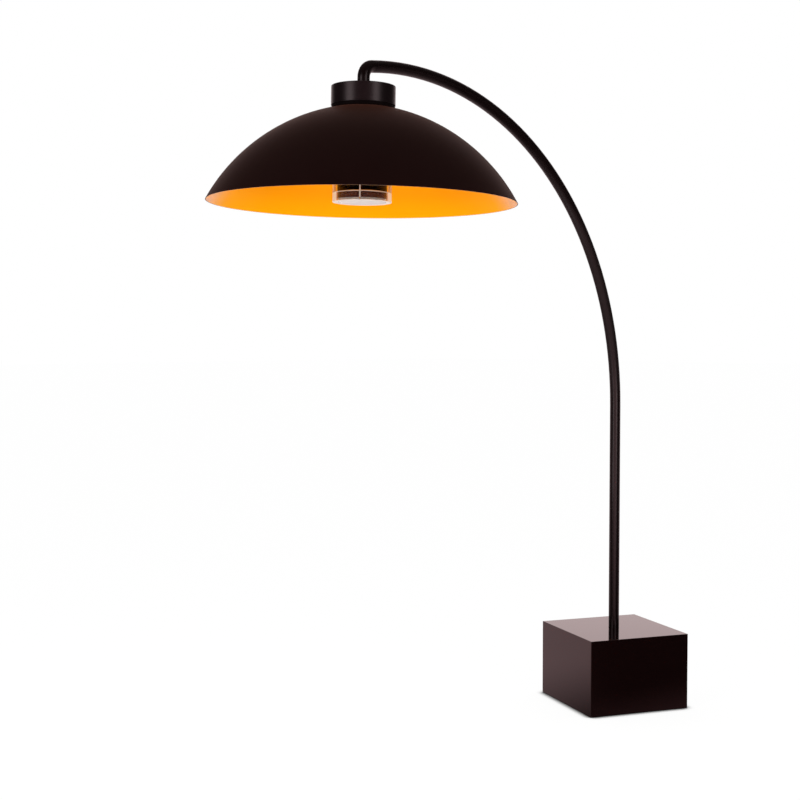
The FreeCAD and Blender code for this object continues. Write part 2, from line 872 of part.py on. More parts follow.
arc_tube = arm_sweep("arc_tube", joint_height, tube_end, [D.tube_radius, tube_bore])
drill_radially(arc_tube, joint_height + D.joint_screw_offset, joint_screw_hole, D.tube_radius)
arm_lead = arm_sweep("arm_lead", foot_bottom, mount_top + D.lead_slack, [D.lead_radius])

# Neck ring: matt spacer that stands on the dome, set back from the collar, which sits on its shoulder
cap_inner = D.cap_radius - D.cap_wall
cap_ceiling = -(D.cap_drop + D.cap_wall)
collar_foot = neck + D.neck_height
neck_outer = D.cap_radius - D.neck_step
neck_inner = neck_outer - D.neck_wall
spigot_radius = cap_inner - D.seat_gap
neck_ring = turned(
    "neck_ring",
    [
        (neck_inner, neck),
        (neck_outer, neck),
        (neck_outer, collar_foot),
        (spigot_radius, collar_foot),
        (spigot_radius, collar_foot + D.neck_spigot),
        (neck_inner, collar_foot + D.neck_spigot),
    ],
)

# Mounting plate inside the neck ring, with holes for every screw that meets it
post_points = [polar(D.post_circle, index, POST_COUNT, QUARTER_TURN) for index in range(POST_COUNT)]
hub_bolt_points = [
    polar(D.hub_bolt_circle, index, HUB_BOLT_COUNT, QUARTER_TURN) for index in range(HUB_BOLT_COUNT)
]
dome_bolt_points = [polar(D.dome_bolt_circle, index, DOME_BOLT_COUNT) for index in range(DOME_BOLT_COUNT)]
hub_hole = D.hub_bolt_radius + D.hole_gap
dome_hole = D.dome_bolt_radius + D.hole_gap
cap_screw_hole = D.cap_screw_radius + D.seat_gap
mounting_plate = turned("mounting_plate", ring(D.wire_hole, neck_inner - D.mount_gap, neck, mount_top))
plate_holes = [(point, hub_hole) for point in hub_bolt_points]
plate_holes += [(point, dome_hole) for point in dome_bolt_points]
plate_holes += [(point, cap_screw_hole) for point in post_points]
drill(mounting_plate, neck, D.mount_thickness, plate_holes)
counterbores = [(point, D.cap_screw_head + D.hole_gap) for point in post_points]
drill(mounting_plate, neck, D.cap_screw_head_height, counterbores)

# Hanger hub: takes the arm's end on a seat and is bolted to the mounting plate
hanger_hub = turned(
    "hanger_hub",
    [
        (lead_hole, mount_top),
        (D.hub_flange_radius, mount_top),
        (D.hub_flange_radius, mount_top + D.hub_flange),
        (D.hub_radius, mount_top + D.hub_flange),
        (D.hub_radius, mount_top + D.hub_height),
        (D.tube_radius + D.seat_gap, mount_top + D.hub_height),
        (D.tube_radius + D.seat_gap, tube_end),
        (lead_hole, tube_end),
    ],
)
drill(hanger_hub, mount_top, D.hub_flange, [(point, hub_hole) for point in hub_bolt_points])
hub_screw_height = mount_top + D.hub_screw_rise
hub_screw_sketch = new_sketch(hanger_hub, "YZ_Plane")
draw_circle(hub_screw_sketch, D.hub_screw_radius + D.seat_gap, (ZERO, hub_screw_height))
hub_bore = pocket(hanger_hub, hub_screw_sketch, D.hub_radius, True)
repeat(hanger_hub, [hub_bore], hub_screw_sketch, HUB_SCREW_COUNT)
hub_screw_section = rectangle(D.tube_radius + D.seat_gap, ZERO, D.hub_radius, D.hub_screw_radius)
hub_screws = turned_lying("hub_screws", hub_screw_section, hub_screw_height, HUB_SCREW_COUNT)
hub_flange_top = mount_top + D.hub_flange
hub_bolts = turned_group(
    "hub_bolts",
    bolt(D.hub_bolt_radius, neck, hub_flange_top, D.hub_bolt_head, hub_flange_top + D.hub_bolt_head_height),
    D.hub_bolt_circle,
    HUB_BOLT_COUNT,
    QUARTER_TURN,
)

# Collar: turned cap with a rounded top edge and four posts for its screws
cap_hole = D.tube_radius + D.mast_gap
head_cap = turned(
    "head_cap",
    [
        (cap_hole, cap_ceiling),
        (cap_inner, cap_ceiling),
        (cap_inner, collar_foot),
        (D.cap_radius, collar_foot),
        (D.cap_radius, -(D.cap_drop + D.cap_edge)),
        (D.cap_radius - D.cap_edge, -D.cap_drop),
        (cap_hole, -D.cap_drop),
    ],
    {4: (D.cap_edge, 1)},
)
posts = new_sketch(head_cap, "XY_Plane", mount_top)
for point in post_points:
    draw_circle(posts, D.post_radius, point)
    draw_circle(posts, cap_screw_hole, point)
pad(head_cap, posts, cap_ceiling - mount_top)
cap_screws = turned_group(
    "cap_screws",
    [
        (ZERO, neck),
        (D.cap_screw_head, neck),
        (D.cap_screw_head, neck + D.cap_screw_head_height),
        (D.cap_screw_radius, neck + D.cap_screw_head_height),
        (D.cap_screw_radius, mount_top + D.cap_screw_reach),
        (ZERO, mount_top + D.cap_screw_reach),
    ],
    D.post_circle,
    POST_COUNT,
    QUARTER_TURN,
)

# Electrics inside the collar
terminal_half = D.terminal_length / 2
terminal_block = prism(
    "terminal_block",
    [
        rectangle(
            -terminal_half,
            D.electrics_offset - D.terminal_width / 2,
            terminal_half,
            D.electrics_offset + D.terminal_width / 2,
        )
    ],
    mount_top,
    D.terminal_height,
)
module_half = D.module_length / 2
control_module = prism(
    "control_module",
    [
        rectangle(
            -module_half,
            -(D.electrics_offset + D.module_width / 2),
            module_half,
            D.module_width / 2 - D.electrics_offset,
        )
    ],
    mount_top,
    D.module_height,
)
round_edges(control_module, D.module_edge, lambda box: box.ZLength > D.module_edge.value)


def spun_shell(label, top, land, rim, depth, arc, sheet_thickness, hole):
    """A spun bowl, mouth down: flat land about its hole, then one arc out to the rim, of even thickness.

    Returns the body and the inner radius of its rim.
    """
    width = rim - land
    chord = root(width * width + depth * depth)
    reach = root(arc * arc - chord * chord / 4)
    centre_x = (land + rim) / 2 - depth / chord * reach
    centre_z = top - depth / 2 - width / chord * reach
    inner = arc - sheet_thickness
    rim_drop = top - depth - centre_z
    land_drop = top - sheet_thickness - centre_z
    inner_rim = centre_x + root(inner * inner - rim_drop * rim_drop)
    inner_land = centre_x + root(inner * inner - land_drop * land_drop)
    body = turned(
        label,
        [
            (hole, top),
            (hole, top - sheet_thickness),
            (inner_land, top - sheet_thickness),
            (inner_rim, top - depth),
            (rim, top - depth),
            (land, top),
        ],
        {2: (inner, -1), 4: (arc, 1)},
    )
    return body, inner_rim


# Dome: the neck ring stands on its flat land, which is bolted under the mounting plate
dome_land = D.cap_radius + D.land_margin
dome_shell, dome_inner_rim = spun_shell(
    "dome_shell", neck, dome_land, D.dome_rim, D.dome_depth, D.dome_arc, D.dome_sheet, D.wire_hole
)
dome_bottom = neck - D.dome_sheet
drill(dome_shell, dome_bottom, D.dome_sheet, [(point, dome_hole) for point in dome_bolt_points])

# Insulation between the dome's land and the lining's land
lining_top = dome_bottom - D.insulation_thickness
insulation_disc = turned("insulation_disc", ring(D.wire_hole, D.insulation_radius, lining_top, dome_bottom))
drill(insulation_disc, lining_top, D.insulation_thickness, [(point, dome_hole) for point in dome_bolt_points])

# Reflector: the gold lining, which closes up to the dome at the rim
rim_plane = neck - D.dome_depth
reflector, lining_inner_rim = spun_shell(
    "reflector",
    lining_top,
    dome_land,
    dome_inner_rim - D.lining_gap,
    lining_top - rim_plane,
    D.lining_arc,
    D.lining_sheet,
    D.wire_hole,
)
lining_bottom = lining_top - D.lining_sheet
drill(reflector, lining_bottom, D.lining_sheet, [(point, dome_hole) for point in dome_bolt_points])

# Heater housing: vented can with a ledge for the glass and bosses for the tie rods
housing_inner = D.glass_radius + D.housing_gap
housing_outer = housing_inner + D.housing_wall
housing_ceiling = lining_bottom - D.housing_top
housing_bottom = lining_bottom - D.housing_height
glass_top = housing_bottom + D.glass_cover
ledge_under = glass_top + D.gasket_height
glass_inner = D.glass_radius - D.glass_wall
rod_circle = glass_inner - D.rod_gap - D.rod_radius
glass_ledge_bore = rod_circle + D.rod_radius + D.hole_gap
heater_housing = turned(
    "heater_housing",
    [
        (D.wire_hole, lining_bottom),
        (D.wire_hole, housing_ceiling),
        (housing_inner, housing_ceiling),
        (housing_inner, ledge_under + D.housing_top),
        (glass_ledge_bore, ledge_under + D.housing_top),
        (glass_ledge_bore, ledge_under),
        (housing_inner, ledge_under),
        (housing_inner, housing_bottom),
        (housing_outer, housing_bottom),
        (housing_outer, lining_bottom),
    ],
)
rod_points = [polar(rod_circle, index, ROD_COUNT, D.rod_start_angle) for index in range(ROD_COUNT)]
rod_hole = D.rod_radius + D.seat_gap
bosses = new_sketch(heater_housing, "XY_Plane", housing_ceiling - D.boss_height)
for point in rod_points:
    draw_circle(bosses, D.boss_radius, point)
    draw_circle(bosses, rod_hole, point)
pad(heater_housing, bosses, D.boss_height)
drill(heater_housing, housing_ceiling, D.housing_top, [(point, dome_hole) for point in dome_bolt_points])
core_bolt_points = [polar(D.core_bolt_circle, index, CORE_BOLT_COUNT) for index in range(CORE_BOLT_COUNT)]
core_bolt_hole = D.core_bolt_radius + D.seat_gap
drill(heater_housing, housing_ceiling, D.housing_top, [(point, core_bolt_hole) for point in core_bolt_points])
slot_top = housing_ceiling - D.slot_drop
vent = new_sketch(heater_housing, "YZ_Plane")
draw(vent, rectangle(-D.slot_width / 2, slot_top - D.slot_height, D.slot_width / 2, slot_top))
vent_slot = pocket(heater_housing, vent, housing_outer, True)
repeat(heater_housing, [vent_slot], vent, SLOT_COUNT)
dome_bolts = turned_group(
    "dome_bolts",
    [
        (ZERO, housing_ceiling - D.dome_bolt_head_height),
        (D.dome_bolt_head, housing_ceiling - D.dome_bolt_head_height),
        (D.dome_bolt_head, housing_ceiling),
        (D.dome_bolt_radius, housing_ceiling),
        (D.dome_bolt_radius, neck + D.dome_bolt_bite),
        (ZERO, neck + D.dome_bolt_bite),
    ],
    D.dome_bolt_circle,
    DOME_BOLT_COUNT,
)

# Core tube: hangs from the housing and clamps pod, shield and spiders against its shoulder
pod_bottom = rim_plane + D.pod_lift
pod_ceiling = pod_bottom + D.pod_height - D.pod_top
pod_upper = pod_bottom + D.pod_height
shield_top = pod_upper + D.shield_thickness
lower_ring_height = shield_top + D.ring_pitch
upper_ring_height = lower_ring_height + D.ring_pitch
core_bore = D.core_radius - D.core_wall
core_tail = pod_ceiling - D.core_nut_height - D.core_tail
core_flange_bottom = housing_ceiling - D.core_flange
shoulder_top = upper_ring_height + D.shoulder_height
core_tube = turned(
    "core_tube",
    [
        (core_bore, core_tail),
        (D.core_radius, core_tail),
        (D.core_radius, upper_ring_height),
        (D.shoulder_radius, upper_ring_height),
        (D.shoulder_radius, shoulder_top),
        (D.core_radius, shoulder_top),
        (D.core_radius, core_flange_bottom),
        (D.core_flange_radius, core_flange_bottom),
        (D.core_flange_radius, housing_ceiling),
        (core_bore, housing_ceiling),
    ],
)
drill(core_tube, core_flange_bottom, D.core_flange, [(point, core_bolt_hole) for point in core_bolt_points])
core_bolts = turned_group(
    "core_bolts",
    [
        (ZERO, core_flange_bottom - D.core_bolt_head_height),
        (D.core_bolt_head, core_flange_bottom - D.core_bolt_head_height),
        (D.core_bolt_head, core_flange_bottom),
        (D.core_bolt_radius, core_flange_bottom),
        (D.core_bolt_radius, lining_bottom),
        (ZERO, lining_bottom),
    ],
    D.core_bolt_circle,
    CORE_BOLT_COUNT,
)
core_seat = D.core_radius + D.hole_gap
core_nut = prism(
    "core_nut",
    [hexagon(D.core_nut_flats)],
    pod_ceiling - D.core_nut_height,
    D.core_nut_height,
    [((ZERO, ZERO), core_seat)],
)


def spider(label, bottom):
    """Ceramic hub with three arms that hold a ring lamp in a groove along their tops."""
    top = bottom + D.ring_pitch
    body = turned(label, ring(core_seat, D.spider_hub_radius, bottom, top))
    arm = new_sketch(body, "XY_Plane", top - D.spider_arm_height)
    half = D.spider_arm_width / 2
    draw(arm, rectangle(D.spider_hub_radius - D.core_wall, -half, D.spider_arm_end, half))
    arm_pad = pad(body, arm, D.spider_arm_height)
    repeat(body, [arm_pad], arm, SPIDER_ARM_COUNT, "N_Axis")
    doc.recompute()
    before = body.Shape.Volume
    seat = new_sketch(body, "XZ_Plane")
    draw_circle(seat, D.ring_radius + D.ring_gap, (D.ring_circle, top))
    groove = body.newObject("PartDesign::Groove", f"{label}_groove")
    groove.Profile = seat
    groove.ReferenceAxis = (seat, ["V_Axis"])
    groove.Angle = FULL_TURN
    doc.recompute()
    if body.Shape.Volume >= before:
        raise RuntimeError(f"the groove in {label} cut nothing")
    return body


def ring_arc(body, radius, height, sweep, start):
    """Part of a ring about the axis, round in section."""
    section = new_sketch(body, "XZ_Plane", turn=start)
    draw_circle(section, radius, (D.ring_circle, height))
    return revolve(body, section, sweep=sweep)


lower_spider = spider("lower_spider", shield_top)
upper_spider = spider("upper_spider", lower_ring_height)
rings = []
ring_caps = new_body("ring_caps")
for name, height in (("lower_heating_ring", lower_ring_height), ("upper_heating_ring", upper_ring_height)):
    lamp = new_body(name)
    ring_arc(lamp, D.ring_radius, height, D.ring_angle, D.ring_start_angle)
    rings.append(lamp)
    ring_arc(ring_caps, D.ring_cap_radius, height, D.ring_cap_angle, D.ring_start_angle + D.ring_angle)
    ring_arc(ring_caps, D.ring_cap_radius, height, D.ring_cap_angle, D.ring_start_angle - D.ring_cap_angle)

# Light: shield, pod with a bright trim ring under its step, cover, board with its chips, and a bezel
heat_shield = turned("heat_shield", ring(core_seat, D.shield_radius, pod_upper, shield_top))
pod_inner = D.pod_radius - D.pod_wall
pod_lower = D.pod_radius - D.trim_step
cover_seat = pod_bottom + D.pod_cover_thickness
trim_bottom = pod_bottom + D.trim_lift
trim_top = trim_bottom + D.trim_height
lamp_pod = turned(
    "lamp_pod",
    [
        (core_seat, pod_ceiling),
        (pod_inner - D.pod_ledge, pod_ceiling),
        (pod_inner - D.pod_ledge, cover_seat),
        (pod_inner, cover_seat),
        (pod_inner, pod_bottom),
        (pod_lower, pod_bottom),
        (pod_lower, trim_top),
        (D.pod_radius, trim_top),
        (D.pod_radius, pod_upper),
        (core_seat, pod_upper),
    ],
)
pod_trim = turned(
    "pod_trim",
    ring(pod_lower + D.seat_gap, D.pod_radius + D.trim_proud, trim_bottom, trim_top),
)
pod_screw_points = [
    polar(D.pod_screw_circle, index, POD_SCREW_COUNT, QUARTER_TURN) for index in range(POD_SCREW_COUNT)
]
pod_screw_hole = D.pod_screw_radius + D.seat_gap
pod_bosses = new_sketch(lamp_pod, "XY_Plane", cover_seat)
for point in pod_screw_points:
    draw_circle(pod_bosses, D.pod_boss_radius, point)
    draw_circle(pod_bosses, pod_screw_hole, point)
pad(lamp_pod, pod_bosses, pod_ceiling - cover_seat)
pod_cover = turned("pod_cover", rectangle(ZERO, pod_bottom, pod_inner - D.hole_gap, cover_seat))
drill(pod_cover, pod_bottom, D.pod_cover_thickness, [(point, pod_screw_hole) for point in pod_screw_points])
pod_screws = turned_group(
    "pod_screws",
    [
        (ZERO, pod_bottom - D.pod_screw_head_height),
        (D.pod_screw_head, pod_bottom - D.pod_screw_head_height),
        (D.pod_screw_head, pod_bottom),
        (D.pod_screw_radius, pod_bottom),
        (D.pod_screw_radius, cover_seat + D.pod_screw_reach),
        (ZERO, cover_seat + D.pod_screw_reach),
    ],
    D.pod_screw_circle,
    POD_SCREW_COUNT,
    QUARTER_TURN,
)
board_bottom = pod_bottom - D.board_thickness
led_board = turned("led_board", rectangle(ZERO, board_bottom, D.board_radius, pod_bottom))
led_chips = new_body("led_chips")
chip = new_sketch(led_chips, "XY_Plane", board_bottom - D.chip_height)
draw(chip, square(D.chip_side, D.chip_circle))
chip_pad = pad(led_chips, chip, D.chip_height)
repeat(led_chips, [chip_pad], chip, CHIP_COUNT, "N_Axis")
bezel_inner = D.board_radius + D.hole_gap
led_bezel = turned(
    "led_bezel",
    ring(bezel_inner, bezel_inner + D.bezel_width, pod_bottom - D.bezel_height, pod_bottom),
)

# Glass: cylinder between two gaskets on a thick base round the pod, clamped by three tie rods
base_bottom = rim_plane + D.glass_lift
base_top = base_bottom + D.glass_base
glass_bottom = base_top + D.gasket_height
base_bore = D.pod_radius + D.base_gap
seat_ceiling = base_bottom + D.lens_seat
lip_bore = D.lens_radius - D.lip_width
lip_top = seat_ceiling + D.lip_height
glass_cylinder = turned("glass_cylinder", ring(glass_inner, D.glass_radius, glass_bottom, glass_top))
glass_gasket = turned("glass_gasket", ring(glass_inner, D.glass_radius, glass_top, ledge_under))
base_gasket = turned("base_gasket", ring(glass_inner, D.glass_radius, base_top, glass_bottom))
glass_base = turned(
    "glass_base",
    [
        (lip_bore, seat_ceiling),
        (D.lens_radius + D.hole_gap, seat_ceiling),
        (D.lens_radius + D.hole_gap, base_bottom),
        (D.glass_radius, base_bottom),
        (D.glass_radius, base_top),
        (base_bore, base_top),
        (base_bore, lip_top),
        (lip_bore, lip_top),
    ],
)
nut_seat = base_bottom + D.rod_nut_height
rod_way = D.rod_radius + D.hole_gap
nut_way = D.rod_nut_radius + D.hole_gap
drill(glass_base, base_bottom, D.glass_base, [(point, rod_way) for point in rod_points])
drill(glass_base, base_bottom, D.rod_nut_height, [(point, nut_way) for point in rod_points])

# Lens: frosted disc with a domed face, bonded under the lip of the glass base
lens_curve = (D.lens_radius * D.lens_radius + D.lens_bulge * D.lens_bulge) / (D.lens_bulge * 2)
lens = turned(
    "lens",
    [
        (ZERO, base_bottom - D.lens_bulge),
        (D.lens_radius, base_bottom),
        (D.lens_radius, seat_ceiling),
        (ZERO, seat_ceiling),
    ],
    {0: (lens_curve, 1)},
)

# Tie rods from the housing's bosses down to dome nuts sunk in the glass base
rod_bottom = nut_seat - D.rod_tail
tie_rods = turned_group(
    "tie_rods",
    rectangle(ZERO, rod_bottom, D.rod_radius, housing_ceiling),
    rod_circle,
    ROD_COUNT,
    D.rod_start_angle,
)
rod_nuts = turned_group(
    "rod_nuts",
    [
        (ZERO, base_bottom),
        (D.rod_nut_radius - D.rod_radius / 2, base_bottom),
        (D.rod_nut_radius, base_bottom + D.rod_radius),
        (D.rod_nut_radius, nut_seat),
        (rod_hole, nut_seat),
        (rod_hole, rod_bottom - D.end_gap),
        (ZERO, rod_bottom - D.end_gap),
    ],
    rod_circle,
    ROD_COUNT,
    D.rod_start_angle,
)

# Places: the base turned on the floor, the head on the end of the arm
block_pieces = [base_cover, base_plate, levelling_feet, foot_studs, foot_lock_nuts, *slabs, mast_socket]
block_pieces += [socket_bolts, lower_bush, upper_bush, thrust_washer, stop_screw, mains_gland, gland_nut]
block_pieces += [base_lead]
place(block_pieces, ZERO, ZERO, Vector(0, 0, 1), D.block_turn_angle)
head_pieces = [neck_ring, mounting_plate, hanger_hub, hub_screws, hub_bolts, head_cap, cap_screws]
head_pieces += [terminal_block, control_module, dome_shell, insulation_disc, reflector, heater_housing]
head_pieces += [dome_bolts, core_tube]
head_pieces += [core_bolts, core_nut, lower_spider, upper_spider, *rings, ring_caps, heat_shield, lamp_pod]
head_pieces += [pod_trim, pod_cover, pod_screws, led_board, led_chips, led_bezel, glass_cylinder]
head_pieces += [glass_gasket, base_gasket, glass_base, lens, tie_rods, rod_nuts]
place(head_pieces, *elbow_end, Vector(0, 1, 0), D.head_tilt_angle)

# Check every object, then write one file for each piece
doc.recompute()
failed = [item.Label for item in doc.Objects if "Invalid" in item.State or "Error" in item.State]
for body in PARTS:
    if body.Shape.isNull() or not body.Shape.isValid() or not body.Shape.Solids:
        failed.append(body.Label)
if failed:
    raise RuntimeError(f"failed objects: {failed}")
os.makedirs("parts", exist_ok=True)
for body in PARTS:
    body.Shape.exportStep(f"parts/{body.Label}.step")
    print(f"{body.Label}: {len(body.Shape.Solids)} solids, {body.Shape.Volume:.0f} mm3")
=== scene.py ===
import math

import bpy
import numpy as np
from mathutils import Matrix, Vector

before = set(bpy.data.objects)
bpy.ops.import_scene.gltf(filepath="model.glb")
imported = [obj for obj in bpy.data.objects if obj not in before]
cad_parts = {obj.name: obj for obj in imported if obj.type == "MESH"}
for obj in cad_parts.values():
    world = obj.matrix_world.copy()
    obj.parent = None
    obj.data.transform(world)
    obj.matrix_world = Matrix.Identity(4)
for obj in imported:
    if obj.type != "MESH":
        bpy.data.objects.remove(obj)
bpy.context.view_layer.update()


# Feet: four rubber pads on steel studs, under the corners of the block.
# The pads are moulded, matt and slightly grained, and they alone touch the floor.
class Value:
    """A shader socket that takes part in Python sums: each operator adds one Math node."""

    def __init__(self, nodes, socket):
        self.nodes = nodes
        self.socket = socket

    def maths(self, operation, first, second):
        return self.nodes.node("ShaderNodeMath", {"operation": operation}, {0: first, 1: second})

    def __add__(self, other):
        return self.maths("ADD", self, other)

    def __radd__(self, other):
        return self.maths("ADD", other, self)

    def __sub__(self, other):
        return self.maths("SUBTRACT", self, other)

    def __rsub__(self, other):
        return self.maths("SUBTRACT", other, self)

    def __mul__(self, other):
        return self.maths("MULTIPLY", self, other)

    def __rmul__(self, other):
        return self.maths("MULTIPLY", other, self)

    def __neg__(self):
        return 0.0 - self


class Nodes:
    """A node tree that fills up by calls: each adds nodes and returns an output as a Value."""

    def __init__(self, tree):
        self.tree = tree

    def node(self, kind, settings=None, inputs=None, output=0):
        """Adds a node, sets it up, fills or links its sockets and returns one output."""
        made = self.tree.nodes.new(kind)
        for name, value in (settings or {}).items():
            setattr(made, name, value)
        for socket, value in (inputs or {}).items():
            if isinstance(value, Value):
                self.tree.links.new(value.socket, made.inputs[socket])
            else:
                made.inputs[socket].default_value = value
        return Value(self, made.outputs[output])

    def outputs(self, kind, inputs, *names):
        """Adds a node and returns several of its outputs."""
        made = self.node(kind, None, inputs).socket.node
        return [Value(self, made.outputs[name]) for name in names]

    def place(self):
        """A point's place in the shared frame, in metres."""
        return self.node("ShaderNodeTexCoord", output="Object")

    def noise(self, waves, detail=3.0, vector=None):
        """Fractal noise from 0 to 1, in waves per metre of the piece unless a vector is given."""
        inputs = {"Vector": vector or self.place(), "Scale": waves, "Detail": detail}
        return self.node("ShaderNodeTexNoise", None, inputs)

    def between(self, share, low, high):
        """Mixes two colours by a share from 0 to 1; the node keeps colours on sockets of their own."""
        first, second, result = 6, 7, 2
        ends = [end if isinstance(end, Value) else (*end, 1.0) for end in (low, high)]
        inputs = {0: share, first: ends[0], second: ends[1]}
        return self.node("ShaderNodeMix", {"data_type": "RGBA"}, inputs, result)

    def smooth(self, value, low, high):
        """Rises smoothly from 0 at low to 1 at high."""
        inputs = {"Value": value, "From Min": low, "From Max": high}
        return self.node("ShaderNodeMapRange", {"interpolation_type": "SMOOTHSTEP"}, inputs)


class Finish(Nodes):
    """One procedural material: constants sit on the shader's own sockets, the rest is linked."""

    def __init__(self, name, **constants):
        self.material = bpy.data.materials.new(name)
        self.material.use_nodes = True
        super().__init__(self.material.node_tree)
        self.shader = self.tree.nodes["Principled BSDF"]
        for socket, value in constants.items():
            self.shader.inputs[socket.replace("_", " ")].default_value = value

    def feed(self, **links):
        """Links values to the shader's sockets by name."""
        for socket, value in links.items():
            self.tree.links.new(value.socket, self.shader.inputs[socket.replace("_", " ")])
        return self

    def relief(self, height, strength, depth):
        """Turns a height from 0 to 1 into a fine bump, depth in metres."""
        inputs = {"Height": height, "Strength": strength, "Distance": depth}
        return self.feed(Normal=self.node("ShaderNodeBump", None, inputs))

    def show(self, shader):
        """Sends a mixed shader to the surface in place of the plain one."""
        self.tree.links.new(shader.socket, self.tree.nodes["Material Output"].inputs["Surface"])

    def dress(self, *names):
        """Puts the finish on the named CAD nodes."""
        for name in names:
            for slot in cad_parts[name].material_slots:
                slot.material = self.material


def grained(name, waves, dark, pale, rough, bump=None, fine=None, detail=3.0, **constants):
    """One noise mixes dark with pale and runs the gloss over the range rough.
    The bump, as strength and depth, follows it too, or a noise of its own with fine waves."""
    finish = Finish(name, **constants)
    grain = finish.noise(waves, detail)
    smoothest, roughest = rough
    finish.feed(Base_Color=finish.between(grain, dark, pale))
    finish.feed(Roughness=grain * (roughest - smoothest) + smoothest)
    if bump:
        finish.relief(finish.noise(fine) if fine else grain, *bump)
    return finish


foot_rubber = grained(
    "foot_rubber",
    waves=900.0,
    dark=(0.012, 0.012, 0.012),
    pale=(0.03, 0.029, 0.028),
    rough=(0.65, 0.85),
    bump=(0.25, 0.0004),
    Specular_IOR_Level=0.3,
)
foot_rubber.dress("levelling_feet")


# Studs, nuts, bolts and screws: turned steel, zinc plated and screwed home.
# The plating is a little cloudy, so its gloss wanders.
def steel(name, tint, rough):
    """Bare or plated steel: gloss and bump from noise squeezed along Z, tint from slow clouds."""
    streaks = (40.0, 40.0, 900.0)
    clouds = 60.0
    clouded = tuple(part * 0.82 for part in tint)
    smoothest, roughest = rough
    finish = Finish(name, Metallic=1.0)
    squeezed = finish.node("ShaderNodeMapping", None, {"Vector": finish.place(), "Scale": streaks})
    streak = finish.noise(waves=1.0, detail=4.0, vector=squeezed)
    finish.feed(Base_Color=finish.between(finish.noise(clouds), clouded, tint))
    finish.feed(Roughness=streak * (roughest - smoothest) + smoothest)
    return finish.relief(streak, strength=0.12, depth=0.0002)


zinc = steel("zinc_plate", tint=(0.62, 0.61, 0.58), rough=(0.24, 0.42))
zinc.dress("foot_studs", "foot_lock_nuts", "socket_bolts", "stop_screw", "hub_screws", "hub_bolts")
zinc.dress("cap_screws", "dome_bolts", "core_bolts", "core_nut", "pod_screws")

# Base plate, mast socket and the other hidden steelwork: hot rolled steel under grey primer.
# The plate is cut from sheet, and the socket is turned and welded to its flange.
primer = grained(
    "grey_primer",
    waves=35.0,
    dark=(0.055, 0.055, 0.055),
    pale=(0.11, 0.105, 0.1),
    rough=(0.5, 0.7),
    bump=(0.15, 0.0003),
    fine=1400.0,
    detail=5.0,
)
primer.dress("base_plate", "mast_socket", "mast_foot", "joint_sleeve", "hanger_hub", "mounting_plate")

# Ballast: three slabs cast in concrete, with pores and a cement skin.
# They are stacked on the plate around the socket.
CEMENT_DARK = (0.2, 0.195, 0.18)
CEMENT_PALE = (0.46, 0.45, 0.42)
PORES_PER_METRE = 160.0
PORE_SIZE = (0.08, 0.22)
concrete = Finish("cast_concrete")
cloud = concrete.noise(waves=12.0, detail=6.0)
cells = {"Vector": concrete.place(), "Scale": PORES_PER_METRE}
to_pore = concrete.node("ShaderNodeTexVoronoi", None, cells, "Distance")
pit = 1.0 - concrete.smooth(to_pore, *PORE_SIZE)
concrete.feed(Base_Color=concrete.between(cloud - pit * 0.5, CEMENT_DARK, CEMENT_PALE))
concrete.feed(Roughness=cloud * 0.15 + 0.78)
concrete.relief(cloud - pit, strength=0.6, depth=0.0015)
concrete.dress("ballast_lower", "ballast_middle", "ballast_upper")

# Bearing and gland: two bronze bushes that let the mast turn in its socket, and nylon parts.
# The bushes are turned, with fine tool rings, and the nylon is moulded.
bronze = steel("bronze_bush", tint=(0.58, 0.36, 0.15), rough=(0.25, 0.4))
bronze.dress("lower_bush", "upper_bush")
nylon = grained(
    "black_nylon",
    waves=700.0,
    dark=(0.012, 0.012, 0.013),
    pale=(0.022, 0.022, 0.023),
    rough=(0.45, 0.6),
    bump=(0.2, 0.0004),
)
nylon.dress("thrust_washer", "mains_gland", "gland_nut", "control_module")

# Lead: black rubber sheathed cable, one run in the base and one up the mast and arm.
# It lies inside the tube, held by the gland.
sheath = grained(
    "lead_sheath",
    waves=500.0,
    dark=(0.01, 0.01, 0.01),
    pale=(0.022, 0.022, 0.022),
    rough=(0.5, 0.65),
    bump=(0.2, 0.0003),
    Specular_IOR_Level=0.4,
)
sheath.dress("base_lead", "arm_lead")

# Base cover: sheet box in high gloss brown-black lacquer, polished like a piano lid.
# Its faces mirror the room with a faint orange peel, and the sharp edges are rubbed a little.
BLOCK_HALF = 0.2
BLOCK_TURN = math.radians(-24.0)
BLOCK_TOP = 0.277
RUB_STARTS = 0.0016
RUB_FULL = 0.0002
LACQUER_DEEP = (0.0065, 0.002, 0.002)
LACQUER_RUBBED = (0.045, 0.028, 0.026)


def near_face(finish, value, limit):
    """Rises from 0 to 1 over the last millimetre or so before plus or minus limit."""
    size = finish.node("ShaderNodeMath", {"operation": "ABSOLUTE"}, {0: value})
    return finish.smooth(size, limit - RUB_STARTS, limit - RUB_FULL)


lacquer = Finish("gloss_lacquer", IOR=1.5, Specular_Tint=(1.0, 0.6, 0.6, 1.0))
turned_back = {"Vector": lacquer.place(), "Rotation": (0.0, 0.0, -BLOCK_TURN)}
squared = lacquer.node("ShaderNodeMapping", None, turned_back)
across, along, height = lacquer.outputs("ShaderNodeSeparateXYZ", {"Vector": squared}, "X", "Y", "Z")
by_x = near_face(lacquer, across, BLOCK_HALF)
by_y = near_face(lacquer, along, BLOCK_HALF)
by_top = near_face(lacquer, height, BLOCK_TOP)
edge = by_x * by_y + by_x * by_top + by_y * by_top
rubbed = edge * (0.4 + 0.6 * lacquer.noise(waves=90.0))
smear = lacquer.noise(waves=7.0, detail=4.0)
dust = lacquer.noise(waves=420.0, detail=2.0)
orange_peel = lacquer.noise(waves=220.0, detail=1.0)
lacquer.feed(Base_Color=lacquer.between(rubbed, LACQUER_DEEP, LACQUER_RUBBED))
